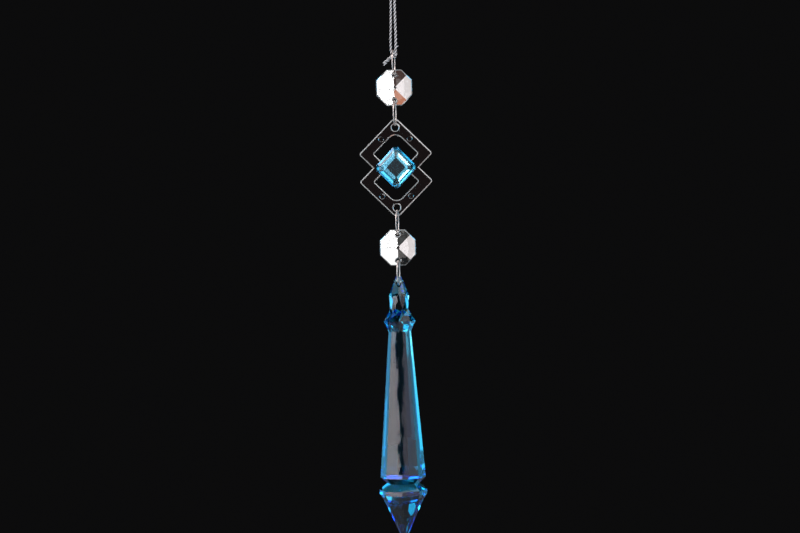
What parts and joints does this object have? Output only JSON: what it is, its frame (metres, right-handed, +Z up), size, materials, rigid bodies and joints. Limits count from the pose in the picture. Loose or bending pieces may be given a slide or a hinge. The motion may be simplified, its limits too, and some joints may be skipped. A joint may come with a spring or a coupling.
{
  "type": "icicle hanging ornament",
  "caption": "Slim hanging ornament on a cord loop: jump rings link clear faceted beads, a double-diamond plate with a square stone, and a long faceted icicle drop.",
  "frame": {"origin": "inside top of the cord loop, where a hook bears", "axes": "+Z up along the plumb line, +X right, front of the stone faces -Y"},
  "size_m": [0.027, 0.018, 0.237],
  "materials": {
    "cord": "twisted silvery white thread",
    "ring_wire": "polished silver-coloured wire",
    "clear_facets": "polished clear acrylic facets",
    "clear_plate": "polished clear acrylic",
    "blue_stone": "polished aqua facets",
    "stone_foil": "mirror foil",
    "clear_glue": "clear glue",
    "blue_icicle": "polished clear light blue acrylic"
  },
  "bodies": {
    "cord": {"hanging_cord": "cord", "cord_knot": "cord", "cord_tails": "cord"},
    "knot_ring": {"knot_ring": "ring_wire"},
    "upper_bead": {"upper_bead": "clear_facets"},
    "plate_ring": {"plate_ring": "ring_wire"},
    "plate": {"diamond_plate": "clear_plate", "square_stone": "blue_stone", "stone_foil": "stone_foil", "stone_glue": "clear_glue"},
    "lower_bead_ring": {"lower_bead_ring": "ring_wire"},
    "lower_bead": {"lower_bead": "clear_facets"},
    "icicle_ring": {"icicle_ring": "ring_wire"},
    "icicle": {"icicle": "blue_icicle"}
  },
  "joints": [
    {"name": "knot_ring_swing", "type": "hinge", "parent": "cord", "child": "knot_ring", "pos_m": [0, 0, -0.0503], "axis": [0, 1, 0], "range_deg": [-60, 60]},
    {"name": "upper_bead_nod", "type": "hinge", "parent": "knot_ring", "child": "upper_bead", "pos_m": [0, 0, -0.0549], "axis": [0.9945, -0.1045, 0], "range_deg": [-60, 60]},
    {"name": "plate_ring_swing", "type": "hinge", "parent": "upper_bead", "child": "plate_ring", "pos_m": [0, 0, -0.0693], "axis": [0, 1, 0], "range_deg": [-60, 60]},
    {"name": "plate_nod", "type": "hinge", "parent": "plate_ring", "child": "plate", "pos_m": [0, 0, -0.074], "axis": [0.9945, -0.1045, 0], "range_deg": [-60, 60]},
    {"name": "lower_bead_ring_swing", "type": "hinge", "parent": "plate", "child": "lower_bead_ring", "pos_m": [0, 0, -0.10975], "axis": [0, 1, 0], "range_deg": [-60, 60]},
    {"name": "lower_bead_nod", "type": "hinge", "parent": "lower_bead_ring", "child": "lower_bead", "pos_m": [0, 0, -0.1153], "axis": [0.9945, -0.1045, 0], "range_deg": [-60, 60]},
    {"name": "icicle_ring_swing", "type": "hinge", "parent": "lower_bead", "child": "icicle_ring", "pos_m": [0, 0, -0.1297], "axis": [0, 1, 0], "range_deg": [-60, 60]},
    {"name": "icicle_nod", "type": "hinge", "parent": "icicle_ring", "child": "icicle", "pos_m": [0, 0, -0.1344], "axis": [0.9945, -0.1045, 0], "range_deg": [-60, 60]}
  ]
}
